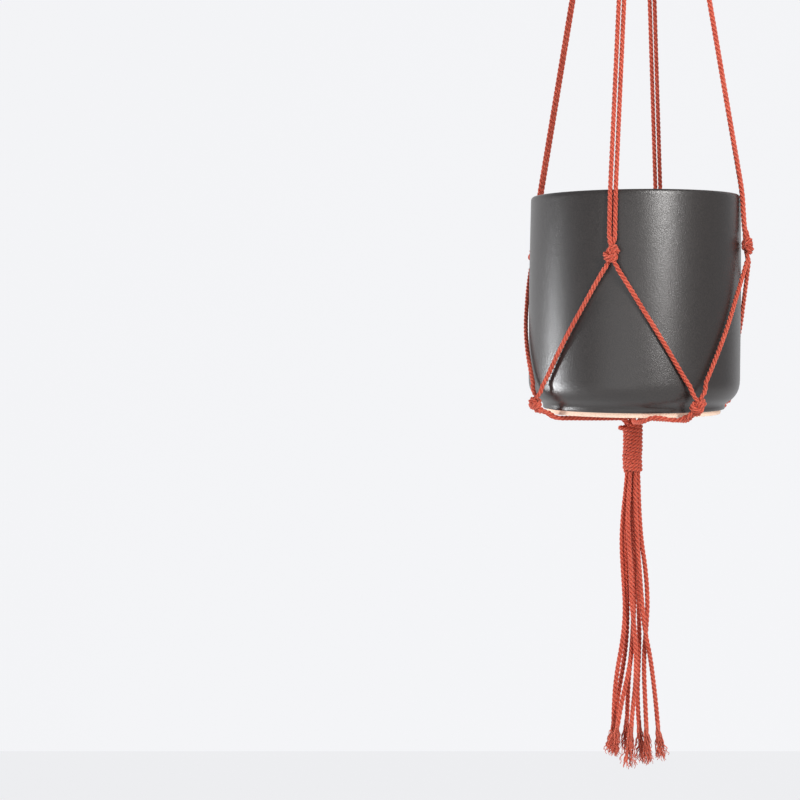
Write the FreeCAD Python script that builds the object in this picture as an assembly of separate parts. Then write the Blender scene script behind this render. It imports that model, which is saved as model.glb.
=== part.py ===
"""Hanging macrame planter: a glazed pot in a cradle of knotted cotton cord.

Millimetres, +Z up.  The origin is the centre of the hanging ring, and the
planter hangs straight down from it.  Four long cords are folded over the
ring, which makes eight strands.  A wrap binds them under the ring, they run
as four pairs down the pot, are knotted twice, meet under the pot in a second
wrap and end in a tassel with frayed ends.
"""
import math
import os

import FreeCAD
import Part
from FreeCAD import Vector

# ---------------------------------------------------------------- driving sizes
# Pot
pot_height = 175.0
pot_radius = 85.1            # widest, over the lower half of the wall
rim_lean = 1.2               # the wall leans in a little towards the rim
rim_round = 1.6
wall = 6.0
floor_thickness = 8.0
foot_inset = 15.1            # of the foot's edge, inside the wall
foot_height = 3.5
foot_ring_width = 7.0
foot_recess = 2.0
foot_edge = 0.5              # small flat on the foot's corners
foot_step = 1.0              # ledge above the foot, and the slope inside it
bevel_rise = 8.5             # 45 degree bevel between foot and wall
turn_rise = 15.0             # over this height the bevel rolls into the wall
turn_middle = (1.7, 6.8)     # inside the wall, and above the bevel
belly_height = 95.0          # where the wall starts to lean in
inner_corner = 10.0          # round between the floor and the wall, inside
pot_base = -712.0            # height of the pot's foot below the ring centre

# Cord and its clearances
cord_diameter = 4.0
pair_gap = 0.3               # between the two cords of a pair
pot_gap = 0.3                # between the pot and anything that it turns in

# Hanging ring
ring_wire = 5.0
ring_inner_radius = 22.0
loop_gap = 0.6               # between the ring and the cords folded over it
loop_drop = 3.0              # straight part of a loop beside the wire
loop_bend = 12.0             # where a loop's legs draw together into the wrap
outer_leg_inset = 2.5        # of the outer legs, inside the wrap's surface

# Wraps
wrap_radius = 8.2
wrapped_radius = 5.4         # the eight strands, pressed together in a wrap
strand_inset = 0.4           # of the ring of strands, inside that radius
cord_hold = 2.0              # how far a cord's middle line starts inside a wrap
top_wrap_top = -46.0
top_wrap_length = 40.0
swing_gap = 0.3              # round each end of the wrap under the pot
gather_depth = 16.5          # of the upper swing point, below the pot's foot
bottom_wrap_run = 27.5       # between the two swing points of that wrap

# Knots: half sizes along the radius, along the wall and upright
upper_knot = (5.2, 7.2, 8.0)
lower_knot = (5.0, 6.4, 7.8)
upper_knot_heights = {"front": 126.0, "right": 134.0, "back": 130.0, "left": 130.0}
lower_knot_heights = {"front_right": 11.0, "back_right": 10.0,
                      "back_left": 10.5, "front_left": 9.5}
lower_knot_stand_off = 5.1   # of the lower knots' middles, outside the wall
arm_into_knot = (1.0, 3.0)   # end of an arm, inside and above the knot's middle
arm_rim_lift = 0.2           # spare room where an arm bends over the rim
arm_rim_bend = 80.0

# Tassel
tassel_turn = 12.0           # the tassel's wide direction, from +X towards +Y
fray_radius = 4.4
fray_lengths = [24.0, 24.0, 31.0, 29.0, 25.0, 27.0, 23.0, 25.0]

# ------------------------------------------------------------- derived sizes
rim_radius = pot_radius - rim_lean
foot_radius = pot_radius - foot_inset
cord_radius = cord_diameter / 2
pair_offset = cord_radius + pair_gap / 2
ring_radius = ring_inner_radius + ring_wire / 2
strand_ring_radius = wrapped_radius - strand_inset
round_middle = 1 - math.cos(math.radians(45))  # of a quarter round, as a share
top_wrap_bottom = top_wrap_top - top_wrap_length
rim_height = pot_base + pot_height
swing_radius = wrap_radius + swing_gap
wrap_swing_z = pot_base - gather_depth
tassel_swing_z = wrap_swing_z - bottom_wrap_run

# The pairs leave the top wrap evenly, but lie on the pot as they were tied.
wrap_angles = {"front": -90.0, "right": 0.0, "back": 90.0, "left": 180.0}
arm_angles = {"front": -89.0, "right": 0.0, "back": 88.5, "left": 169.0}
lower_angles = {"front_right": -45.0, "back_right": 45.0,
                "back_left": 135.0, "front_left": -135.0}

nodes = {}


# ------------------------------------------------------------------- helpers
def polar(angle, radius, along, height):
    """A point at a radius in the direction of angle, moved along the wall."""
    a = math.radians(angle)
    return Vector(radius * math.cos(a) - along * math.sin(a),
                  radius * math.sin(a) + along * math.cos(a), height)


def upright(radius, bottom, top):
    return Part.makeCylinder(radius, top - bottom, Vector(0, 0, bottom))


def cord_path(points, radii=None):
    """Straight runs joined by tangent arcs, and the arcs' radii."""
    edges = []
    used = []
    start = points[0]
    for i in range(1, len(points) - 1):
        before, corner, after = points[i - 1], points[i], points[i + 1]
        way_in = (corner - before).normalize()
        way_out = (after - corner).normalize()
        half_turn = way_in.getAngle(way_out) / 2
        shorter = min((corner - before).Length, (after - corner).Length)
        radius = 0.45 * shorter / math.tan(half_turn)
        if radii and radii.get(i):
            radius = radii[i]
        setback = radius * math.tan(half_turn)
        inward = (way_out - way_in).normalize()
        middle = corner + inward * (radius / math.cos(half_turn) - radius)
        arc_start = corner - way_in * setback
        arc_end = corner + way_out * setback
        edges.append(Part.LineSegment(start, arc_start).toShape())
        edges.append(Part.Arc(arc_start, middle, arc_end).toShape())
        used.append(radius)
        start = arc_end
    edges.append(Part.LineSegment(start, points[-1]).toShape())
    return Part.Wire(edges), used


def cord(name, points, ends, radii=None):
    """A length of cord, trimmed where it enters the solids in ends."""
    path, used = cord_path(points, radii)
    direction = points[1] - points[0]
    circle = Part.Wire(Part.makeCircle(cord_radius, points[0], direction))
    tube = path.makePipeShell([circle], True, False)
    section = math.pi * cord_radius ** 2
    drift = tube.Volume / (section * path.Length) - 1
    print(f"{name}: length {path.Length:.1f}, radii {min(used):.1f} to {max(used):.1f}, "
          f"volume off by {100 * drift:.2f} %")
    for solid in ends:
        tube = tube.cut(solid)
    nodes[name] = max(tube.Solids, key=lambda part: part.Volume)


def ellipsoid(half_sizes, angle, radius, height):
    """A knot's lump, turned to face outwards and set at its place."""
    shape = Part.makeSphere(1.0)
    stretch = FreeCAD.Matrix()
    stretch.scale(Vector(*half_sizes))
    shape = shape.transformGeometry(stretch)
    shape.rotate(Vector(0, 0, 0), Vector(0, 0, 1), angle)
    shape.translate(polar(angle, radius, 0, height))
    return shape


# ---------------------------------------------------------------------- pot
def make_pot():
    """Thrown stoneware pot: straight wall, bevel, and an unglazed foot ring."""
    bevel_top = foot_height + bevel_rise
    bevel_foot = foot_radius + foot_step
    bevel_radius = bevel_foot + bevel_rise
    turn_top = bevel_top + turn_rise
    inner_radius = pot_radius - wall
    rim_inner = rim_radius - wall
    rim_mid = round_middle * rim_round
    recess_radius = foot_radius - foot_ring_width
    corner_mid = round_middle * inner_corner
    floor = floor_thickness

    def at(radius, height):
        return Vector(radius, 0, pot_base + height)

    def line(start, end):
        return Part.LineSegment(at(*start), at(*end))

    def arc(start, middle, end):
        return Part.Arc(at(*start), at(*middle), at(*end))

    edges = [
        line((0, foot_recess), (recess_radius, foot_recess)),
        line((recess_radius, foot_recess), (recess_radius + foot_step, 0)),
        line((recess_radius + foot_step, 0), (foot_radius - foot_edge, 0)),
        line((foot_radius - foot_edge, 0), (foot_radius, foot_edge)),
        line((foot_radius, foot_edge), (foot_radius, foot_height)),
        line((foot_radius, foot_height), (bevel_foot, foot_height)),
        line((bevel_foot, foot_height), (bevel_radius, bevel_top)),
        arc((bevel_radius, bevel_top),
            (pot_radius - turn_middle[0], bevel_top + turn_middle[1]),
            (pot_radius, turn_top)),
        line((pot_radius, turn_top), (pot_radius, belly_height)),
        line((pot_radius, belly_height), (rim_radius, pot_height - rim_round)),
        arc((rim_radius, pot_height - rim_round),
            (rim_radius - rim_mid, pot_height - rim_mid),
            (rim_radius - rim_round, pot_height)),
        line((rim_radius - rim_round, pot_height), (rim_inner + rim_round, pot_height)),
        arc((rim_inner + rim_round, pot_height),
            (rim_inner + rim_mid, pot_height - rim_mid),
            (rim_inner, pot_height - rim_round)),
        line((rim_inner, pot_height - rim_round), (inner_radius, belly_height)),
        line((inner_radius, belly_height), (inner_radius, floor + inner_corner)),
        arc((inner_radius, floor + inner_corner),
            (inner_radius - corner_mid, floor + corner_mid),
            (inner_radius - inner_corner, floor)),
        line((inner_radius - inner_corner, floor), (0, floor)),
        line((0, floor), (0, foot_recess)),
    ]
    outline = Part.Wire([edge.toShape() for edge in edges])
    pot = Part.Face(outline).revolve(Vector(0, 0, 0), Vector(0, 0, 1), 360)
    nodes["pot"] = pot.Solids[0] if pot.Solids else Part.Solid(pot.Shells[0])


# -------------------------------------------------------- ring and top wrap
def make_ring():
    nodes["hanging_ring"] = Part.makeTorus(ring_radius, ring_wire / 2,
                                           Vector(0, 0, 0), Vector(0, 1, 0))


def make_top_wrap():
    """The cord wound round the strands under the ring, and the strands in it."""
    nodes["top_wrap_strands"] = upright(wrapped_radius, top_wrap_bottom, top_wrap_top)
    outside = upright(wrap_radius, top_wrap_bottom, top_wrap_top)
    nodes["top_wrap"] = outside.cut(nodes["top_wrap_strands"])


def make_loops():
    """Four cords side by side, folded over the bottom of the ring."""
    ends = [upright(2 * wrap_radius, top_wrap_bottom, top_wrap_top)]
    fold = ring_wire / 2 + loop_gap + cord_radius
    along_ring = [-3 * pair_offset, -pair_offset, pair_offset, 3 * pair_offset]
    tight = 0.999 * fold         # just under a half round over the wire
    bends = {1: loop_bend, 2: tight, 3: tight, 4: loop_bend}
    leg_end = top_wrap_top - cord_hold
    for number, across in enumerate(along_ring, start=1):
        wire_z = -math.sqrt(ring_radius ** 2 - across ** 2)
        outer = abs(across) > cord_diameter
        leg = wrap_radius - outer_leg_inset if outer else pair_offset
        wrap_x = math.copysign(leg, across)
        wrap_y = pair_offset if outer else strand_ring_radius
        points = [
            Vector(wrap_x, wrap_y, leg_end),
            Vector(across, fold, wire_z - loop_drop),
            Vector(across, fold, wire_z + fold),
            Vector(across, -fold, wire_z + fold),
            Vector(across, -fold, wire_z - loop_drop),
            Vector(wrap_x, -wrap_y, leg_end),
        ]
        cord(f"ring_loop_{number}", points, ends, bends)


# ------------------------------------------------------------------ cradle
def make_knots():
    for side, angle in arm_angles.items():
        stand_off = pot_radius + pot_gap + upper_knot[0]
        height = pot_base + upper_knot_heights[side]
        nodes[f"upper_knot_{side}"] = ellipsoid(upper_knot, angle, stand_off, height)
    for corner, angle in lower_angles.items():
        height = pot_base + lower_knot_heights[corner]
        nodes[f"lower_knot_{corner}"] = ellipsoid(lower_knot, angle,
                                                 pot_radius + lower_knot_stand_off, height)


def make_arms():
    """Two cords from the top wrap over the rim to each upper knot."""
    into_knot, above_knot = arm_into_knot
    knot_radius = pot_radius + pot_gap + upper_knot[0] - into_knot
    over_rim = rim_radius + cord_radius + pot_gap + arm_rim_lift
    ends = [upright(wrap_radius, top_wrap_bottom, top_wrap_top)]
    for side, angle in arm_angles.items():
        knot = nodes[f"upper_knot_{side}"]
        arm_end = pot_base + upper_knot_heights[side] + above_knot
        for number, way in ((1, -1), (2, 1)):
            aside = way * pair_offset
            points = [
                polar(wrap_angles[side], strand_ring_radius, aside,
                      top_wrap_bottom + cord_hold),
                polar(angle, over_rim, aside, rim_height),
                polar(angle, knot_radius, aside, arm_end),
            ]
            cord(f"arm_{side}_{number}", points, ends + [knot], {1: arm_rim_bend})


# Each side cord lies on the wall between an upper and a lower knot.  Its first
# and last points: sideways from the knot's middle, below or above it, and
# stand-off from the wall.  The points between give shares of the way instead.
side_leaves = (2.5, 7.4, 4.4)
side_arrives = (2.8, 7.9, 2.4)
side_route = [(0.17, 0.17, 2.2), (0.33, 0.335, 0.5), (0.50, 0.505, 0.5),
              (0.67, 0.675, 0.5), (0.84, 0.85, 0.8)]
side_span = 4.0              # the shares run between this far below and above


def make_sides():
    """From each upper knot the two cords part and run to the lower knots."""
    runs = [("front", "front_left", 1), ("front", "front_right", 2),
            ("right", "front_right", 1), ("right", "back_right", 2),
            ("back", "back_right", 1), ("back", "back_left", 2),
            ("left", "back_left", 1), ("left", "front_left", 2)]
    on_wall = pot_radius + pot_gap + cord_radius
    for side, corner, number in runs:
        start = arm_angles[side]
        way = -1 if number == 1 else 1
        turn = (lower_angles[corner] - start + 180) % 360 - 180
        upper = pot_base + upper_knot_heights[side]
        lower = pot_base + lower_knot_heights[corner]
        aside, below, off = side_leaves
        points = [polar(start, on_wall + off, way * aside, upper - below)]
        top, bottom = upper - side_span, lower + side_span
        for around, down, off in side_route:
            points.append(polar(start + turn * around, on_wall + off, 0,
                                top + (bottom - top) * down))
        aside, above, off = side_arrives
        points.append(polar(lower_angles[corner], on_wall + off, -way * aside, lower + above))
        ends = [nodes[f"upper_knot_{side}"], nodes[f"lower_knot_{corner}"]]
        cord(f"side_{side}_{number}", points, ends)


# Under the pot.  The first points of a route are measured outwards from the
# foot's edge and the last ones from the axis, with the height above the foot.
base_from_foot = [(16.0, 7.0), (9.5, 1.4), (2.6, -3.0), (-9.0, -3.5)]
base_from_axis = [(41.0, -3.9), (20.0, -4.2), (5.3, -4.5), (5.3, -13.8)]
base_bows = {  # sideways bow of each cord, past its place in the pair
    "front_right": ((0.0, 0.0, 0.0, 0.3, 0.8, 0.5, 0.0, 0.0),
                    (0.0, 0.0, 0.0, 1.2, 2.6, 1.4, 0.0, 0.0)),
    "back_right": ((0.0, 0.0, 0.0, 0.2, 0.6, 0.3, 0.0, 0.0),
                   (0.0, 0.0, 0.0, 0.6, 1.4, 0.8, 0.0, 0.0)),
    "back_left": ((0.0, 0.0, 0.0, 0.9, 2.0, 1.0, 0.0, 0.0),
                  (0.0, 0.0, 0.0, 0.2, 0.5, 0.3, 0.0, 0.0)),
    "front_left": ((0.0, 0.0, 0.0, 0.5, 1.1, 0.7, 0.0, 0.0),
                   (0.0, 0.0, 0.0, 0.3, 0.6, 0.4, 0.0, 0.0)),
}
# One slack cord strays out in front of the foot: angle, distance, height.
stray_from_foot = [(-46.4, 16.3, 6.0), (-49.7, 11.9, -0.4), (-55.1, 8.6, -1.6),
                   (-61.6, 6.7, 0.6), (-67.1, 5.8, 1.0), (-71.4, 2.2, -2.8),
                   (-74.6, -9.8, -4.2)]
stray_from_axis = [(-77.6, 41.0, -4.6), (-76.1, 21.6, -4.6)]


def make_bases():
    """From each lower knot two cords run under the pot to its middle."""
    gather = Part.makeSphere(swing_radius, Vector(0, 0, wrap_swing_z))
    straight = [(foot_radius + out, height) for out, height in base_from_foot]
    straight += base_from_axis
    stray = [polar(angle, foot_radius + out, 0, pot_base + height)
             for angle, out, height in stray_from_foot]
    stray += [polar(angle, radius, 0, pot_base + height)
              for angle, radius, height in stray_from_axis]
    for corner, angle in lower_angles.items():
        ends = [nodes[f"lower_knot_{corner}"], gather]
        for number, way in ((1, -1), (2, 1)):
            bows = base_bows[corner][number - 1]
            points = []
            for (radius, height), bow in zip(straight, bows):
                points.append(polar(angle, radius, way * (pair_offset + bow),
                                    pot_base + height))
            if corner == "front_right" and number == 1:
                points = stray + points[-2:]
            cord(f"base_{corner}_{number}", points, ends)


# -------------------------------------------------- bottom wrap and tassel
def make_bottom_wrap():
    """Wound like the top one, with round ends, so that it can swing."""
    body = upright(wrap_radius, tassel_swing_z, wrap_swing_z)
    for height in (wrap_swing_z, tassel_swing_z):
        body = body.fuse(Part.makeSphere(wrap_radius, Vector(0, 0, height)))
    body = body.removeSplitter()
    inside = upright(wrapped_radius, tassel_swing_z - wrap_radius, wrap_swing_z + wrap_radius)
    nodes["bottom_wrap_strands"] = body.common(inside)
    nodes["bottom_wrap"] = body.cut(inside)


# Tassel strands: across, deep and height, from the axis and the pot's foot.
strand_routes = [
    [(-4.54, -1.40, -48), (-5.0, -1.2, -62), (-8.0, 0.2, -80), (-10.6, 1.0, -105),
     (-9.6, 1.2, -132), (-7.6, 0.8, -160), (-9.4, 0.4, -184), (-13.8, -0.3, -208),
     (-16.2, -0.8, -230), (-16.6, -1.0, -252)],
    [(-3.92, 2.68, -48), (-4.9, 3.3, -62), (-6.0, 5.4, -81), (-7.2, 7.0, -106),
     (-6.8, 7.4, -134), (-5.9, 7.0, -162), (-6.6, 7.0, -188), (-9.8, 7.6, -212),
     (-13.4, 8.2, -233), (-15.2, 8.5, -252)],
    [(-1.73, -4.42, -48), (-2.5, -5.0, -62), (-4.5, -5.6, -82), (-4.4, -6.0, -104),
     (-3.4, -6.0, -128), (-2.9, -5.8, -152), (-0.2, -5.8, -173), (1.5, -6.0, -195),
     (1.2, -6.2, -218), (-0.9, -6.2, -238), (-2.2, -6.0, -254)],
    [(3.48, 3.23, -48), (3.2, 3.9, -62), (3.2, 4.4, -84), (3.0, 4.2, -110),
     (2.6, 4.2, -138), (3.4, 3.6, -162), (4.0, 2.4, -186), (3.2, 1.2, -210),
     (2.6, 0.8, -232), (4.2, 1.5, -253)],
    [(2.37, -4.11, -48), (2.1, -4.6, -62), (2.0, -5.2, -82), (2.4, -5.6, -104),
     (3.7, -5.9, -128), (5.6, -6.3, -152), (8.4, -6.6, -176), (12.8, -5.6, -196),
     (15.6, -4.2, -216), (18.0, -2.8, -236), (19.7, -2.0, -254)],
    [(4.70, -0.71, -48), (4.9, -0.6, -62), (4.9, -0.4, -82), (5.6, -0.2, -104),
     (8.4, -0.2, -126), (10.4, -0.4, -150), (9.8, -0.8, -170), (7.9, -0.6, -192),
     (8.0, -2.2, -214), (9.3, -4.6, -236), (10.2, -6.0, -254)],
    [(0.0, 0.0, -48), (0.15, 0.0, -62), (0.0, -0.2, -82), (0.2, -0.3, -106),
     (-0.6, -0.4, -130), (-0.4, -0.2, -154), (-1.4, -0.6, -178), (-2.6, -1.4, -198),
     (-6.0, -4.4, -216), (-10.2, -7.6, -234), (-13.2, -9.6, -252)],
    [(-0.36, 4.74, -48), (-0.6, 5.2, -62), (-1.5, 6.2, -84), (-1.2, 7.0, -108),
     (-1.6, 7.2, -134), (-1.0, 7.0, -160), (-1.6, 6.6, -184), (-3.6, 6.0, -206),
     (-5.2, 5.6, -228), (-5.5, 6.0, -250)],
]


def make_tassel():
    """Eight strands below the wrap, each with its frayed end."""
    socket = Part.makeSphere(swing_radius, Vector(0, 0, tassel_swing_z))
    for number, route in enumerate(strand_routes, start=1):
        points = [polar(tassel_turn, across, deep, pot_base + height)
                  for across, deep, height in route]
        cord(f"strand_{number}", points, [socket])
        direction = (points[-1] - points[-2]).normalize()
        nodes[f"frayed_end_{number}"] = Part.makeCone(
            cord_radius, fray_radius, fray_lengths[number - 1], points[-1], direction)


def main():
    make_pot()
    make_ring()
    make_top_wrap()
    make_loops()
    make_knots()
    make_arms()
    make_sides()
    make_bases()
    make_bottom_wrap()
    make_tassel()
    os.makedirs("parts", exist_ok=True)
    for name, shape in nodes.items():
        shape.exportStep(f"parts/{name}.step")
    print(len(nodes), "nodes")


main()
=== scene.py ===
import math
import random

import bpy
import numpy as np
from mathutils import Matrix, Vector


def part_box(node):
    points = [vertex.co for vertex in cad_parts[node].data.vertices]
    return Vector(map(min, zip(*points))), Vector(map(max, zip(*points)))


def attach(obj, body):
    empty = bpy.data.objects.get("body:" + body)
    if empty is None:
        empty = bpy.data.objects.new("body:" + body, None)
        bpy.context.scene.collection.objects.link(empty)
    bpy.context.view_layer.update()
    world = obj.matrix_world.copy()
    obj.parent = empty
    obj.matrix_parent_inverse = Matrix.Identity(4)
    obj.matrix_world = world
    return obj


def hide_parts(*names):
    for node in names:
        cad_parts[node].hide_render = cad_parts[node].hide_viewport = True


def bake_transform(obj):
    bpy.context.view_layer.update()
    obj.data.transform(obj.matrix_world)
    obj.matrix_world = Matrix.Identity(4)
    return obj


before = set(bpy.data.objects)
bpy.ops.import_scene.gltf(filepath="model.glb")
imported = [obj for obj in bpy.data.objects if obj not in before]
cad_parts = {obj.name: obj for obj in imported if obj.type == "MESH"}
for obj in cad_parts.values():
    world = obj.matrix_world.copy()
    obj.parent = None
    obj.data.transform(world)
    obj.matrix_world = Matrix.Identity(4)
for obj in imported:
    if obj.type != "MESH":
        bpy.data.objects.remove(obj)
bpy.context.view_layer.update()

pot_low, pot_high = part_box("pot")
pot_base = pot_low.z
pot_top = pot_high.z
pot_radius = (pot_high.x - pot_low.x) / 2


# ---------------------------------------------------------------------------
# The view: a camera a little above the pot's foot and turned to the left of
# the planter, in a white room with soft daylight.
# ---------------------------------------------------------------------------
camera_turn = math.radians(12.0)        # from the front, towards the right
camera_distance = 1.270                 # from the planter's axis
camera_height = pot_base + 0.0797
camera_down = math.radians(3.17)
camera_aside = math.radians(8.62)       # how far left of the axis it looks

to_right = Vector((math.cos(camera_turn), math.sin(camera_turn), 0))
away = Vector((-math.sin(camera_turn), math.cos(camera_turn), 0))


def seen_from_camera(right, behind, height):
    """A place by how far it is right of the planter's axis, behind it and up."""
    return to_right * right + away * behind + Vector((0, 0, height))


camera_data = bpy.data.cameras.new("camera")
camera_data.lens = 69.3
camera_data.sensor_width = 36.0
camera = bpy.data.objects.new("camera", camera_data)
camera.location = seen_from_camera(0, -camera_distance, camera_height)
camera.rotation_euler = (math.pi / 2 - camera_down, 0, camera_turn + camera_aside)
bpy.context.scene.collection.objects.link(camera)
bpy.context.scene.camera = camera


def area_light(name, place, target, size, power, colour):
    """A soft rectangular light at a place, turned to its target."""
    data = bpy.data.lights.new(name, "AREA")
    data.shape = "RECTANGLE"
    data.size, data.size_y = size
    data.energy = power
    data.color = colour
    lamp = bpy.data.objects.new(name, data)
    lamp.location = place
    lamp.rotation_euler = (target - place).to_track_quat("-Z", "Y").to_euler()
    bpy.context.scene.collection.objects.link(lamp)


pot_middle = Vector((0, 0, (pot_base + pot_top) / 2))
area_light("tall_window", seen_from_camera(0.97, -1.63, pot_base + 0.86), pot_middle,
           (0.20, 1.20), 40.0, (1.0, 0.985, 0.97))
area_light("low_window", seen_from_camera(-1.50, 0.13, pot_base - 0.30), pot_middle,
           (0.16, 0.54), 20.0, (0.96, 0.98, 1.0))
area_light("front_fill", seen_from_camera(-0.5, -2.2, pot_base - 0.15), pot_middle,
           (1.8, 0.9), 6.5, (1.0, 1.0, 1.0))

world = bpy.data.worlds.new("room_light")
world.use_nodes = True
world.node_tree.nodes["Background"].inputs["Color"].default_value = (0.93, 0.95, 1.0, 1)
world.node_tree.nodes["Background"].inputs["Strength"].default_value = 0.42
bpy.context.scene.world = world
bpy.context.scene.view_settings.view_transform = "Standard"


def new_material(name):
    """A material with its Principled shader, ready for nodes."""
    material = bpy.data.materials.new(name)
    material.use_nodes = True
    return material, material.node_tree.nodes, material.node_tree.links


def room_surface(name, corners, glow):
    """A flat, even white part of the room."""
    mesh = bpy.data.meshes.new(name)
    mesh.from_pydata([tuple(c) for c in corners], [], [(0, 1, 2, 3)])
    surface = bpy.data.objects.new(name, mesh)
    bpy.context.scene.collection.objects.link(surface)
    material, nodes, _ = new_material(name)
    shader = nodes["Principled BSDF"]
    shader.inputs["Base Color"].default_value = (0.12, 0.12, 0.122, 1)
    shader.inputs["Roughness"].default_value = 0.9
    shader.inputs["Specular IOR Level"].default_value = 0.0
    shader.inputs["Emission Color"].default_value = (0.975, 0.98, 1.0, 1)
    shader.inputs["Emission Strength"].default_value = glow
    mesh.materials.append(material)


floor_height = pot_base - 1.413
wall_away = 5.20                        # from the camera, square to its view
room_half = 6.0
heading = camera_turn + camera_aside


def in_room(right, ahead, height):
    """A place in the room by how far it is right of the camera and ahead of it."""
    return Vector((camera.location.x + right * math.cos(heading) - ahead * math.sin(heading),
                   camera.location.y + right * math.sin(heading) + ahead * math.cos(heading),
                   height))


room_surface("floor", [in_room(-room_half, wall_away, floor_height),
                       in_room(-room_half, -room_half, floor_height),
                       in_room(room_half, -room_half, floor_height),
                       in_room(room_half, wall_away, floor_height)], 0.788)
room_surface("back_wall", [in_room(-room_half, wall_away, floor_height),
                           in_room(room_half, wall_away, floor_height),
                           in_room(room_half, wall_away, 3.0),
                           in_room(-room_half, wall_away, 3.0)], 0.840)


# ---------------------------------------------------------------------------
# The cord: 4 mm cotton, three plies laid up left-handed and dyed brick red.
# One long line is drawn for each cord, and the three plies are wound along it.
# ---------------------------------------------------------------------------
cord_radius = 0.00185
lay_length = 0.0115                     # one full turn of a ply
ring_step = 0.0008
ply_points = 8                          # points of the outline on each ply
ply_offset = 0.44                       # of a ply's middle, in cord radii
ply_radius = 0.56


def smooth_line(points):
    """The line of a cord through the air: a NURBS curve with these control points."""
    curve = bpy.data.curves.new("route", "CURVE")
    curve.dimensions = "3D"
    curve.resolution_u = 20
    spline = curve.splines.new("NURBS")
    spline.points.add(len(points) - 1)
    for control, place in zip(spline.points, points):
        control.co = (*place, 1)
    spline.order_u = 3
    spline.use_endpoint_u = True
    spline.resolution_u = 20
    route = bpy.data.objects.new("route", curve)
    bpy.context.scene.collection.objects.link(route)
    drawn = bpy.data.meshes.new_from_object(route)
    line = np.array([vertex.co for vertex in drawn.vertices])
    bpy.data.objects.remove(route)
    bpy.data.curves.remove(curve)
    bpy.data.meshes.remove(drawn)
    return line


def distances(line):
    """How far each point of a line is along it."""
    steps = np.linalg.norm(np.diff(line, axis=0), axis=1)
    return np.concatenate([[0], np.cumsum(steps)])


def even_line(line, step):
    """The same line with its points a step apart."""
    along = distances(line)
    count = max(2, round(along[-1] / step) + 1)
    places = np.linspace(0, along[-1], count)
    return np.column_stack([np.interp(places, along, line[:, k]) for k in range(3)])


def eased(line, rounds):
    """The same line with its small kinks taken out."""
    line = line.copy()
    for _ in range(rounds):
        line[1:-1] = (line[:-2] + 2 * line[1:-1] + line[2:]) / 4
    return line


def lay_up(line, radii, lay=lay_length):
    """Rings of points round a line, twisted as the three plies are.

    Each ring carries its place along the cord too, in lays.
    """
    ways = np.gradient(line, axis=0)
    ways /= np.linalg.norm(ways, axis=1)[:, None]
    side = np.cross(ways[0], (0.31, 0.87, 0.39))
    side /= np.linalg.norm(side)
    sides = [side]
    for way in ways[1:]:
        side = side - way * side.dot(way)
        side /= np.linalg.norm(side)
        sides.append(side)
    sides = np.array(sides)
    others = np.cross(ways, sides)
    along = distances(line) / lay
    count = 3 * ply_points
    turn = 2 * np.pi * np.arange(count) / count
    from_ply = (turn + np.pi / 3) % (2 * np.pi / 3) - np.pi / 3
    outline = ply_offset * np.cos(from_ply)
    outline += np.sqrt(ply_radius ** 2 - (ply_offset * np.sin(from_ply)) ** 2)
    angles = turn[None] - 2 * np.pi * along[:, None]
    out = outline[None] * radii[:, None]
    rings = line[:, None] + out[..., None] * (np.cos(angles)[..., None] * sides[:, None]
                                              + np.sin(angles)[..., None] * others[:, None])
    return rings, along, outline


def cord_mesh(name, runs):
    """One mesh of laid cord.  A run is (rings, along, outline) as lay_up gives."""
    points, faces, spots, grooves = [], [], [], []
    for rings, along, outline in runs:
        first = len(points)
        count = rings.shape[1]
        points.extend(map(tuple, rings.reshape(-1, 3)))
        # How deep each point lies in the grooves between the plies, for the painted shade there; a
        # frayed yarn's outline brings its own tone instead.
        grooves.extend(list(1 - outline) * len(rings))
        for i in range(len(rings) - 1):
            low, high = first + i * count, first + (i + 1) * count
            for j in range(count):
                k = (j + 1) % count
                faces.append((low + j, low + k, high + k, high + j))
                u, w = j / count, (j + 1) / count
                spots.extend(((u, along[i]), (w, along[i]), (w, along[i + 1]), (u, along[i + 1])))
        last = first + (len(rings) - 1) * count
        for ring, order, v in ((first, -1, along[0]), (last, 1, along[-1])):
            faces.append(tuple(ring + j for j in range(count))[::order])
            spots.extend([(0.0, v)] * count)
    mesh = bpy.data.meshes.new(name)
    mesh.from_pydata(points, [], faces)
    mesh.uv_layers.new(name="lay").data.foreach_set("uv", np.array(spots).ravel())
    mesh.attributes.new("groove_shade_and_yarn_tone", "FLOAT", "POINT").data.foreach_set("value", grooves)
    mesh.polygons.foreach_set("use_smooth", [len(face) == 4 for face in faces])
    mesh.update()
    piece = bpy.data.objects.new(name, mesh)
    bpy.context.scene.collection.objects.link(piece)
    mesh.materials.append(cotton)
    return piece


def noise_of(nodes, links, vector, scale, detail, roughness=0.5):
    """A cloudy pattern from 0 to 1; the larger its scale, the finer it is."""
    cloud = nodes.new("ShaderNodeTexNoise")
    cloud.inputs["Scale"].default_value = scale
    cloud.inputs["Detail"].default_value = detail
    cloud.inputs["Roughness"].default_value = roughness
    links.new(vector, cloud.inputs["Vector"])
    return cloud.outputs["Fac"]


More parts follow.
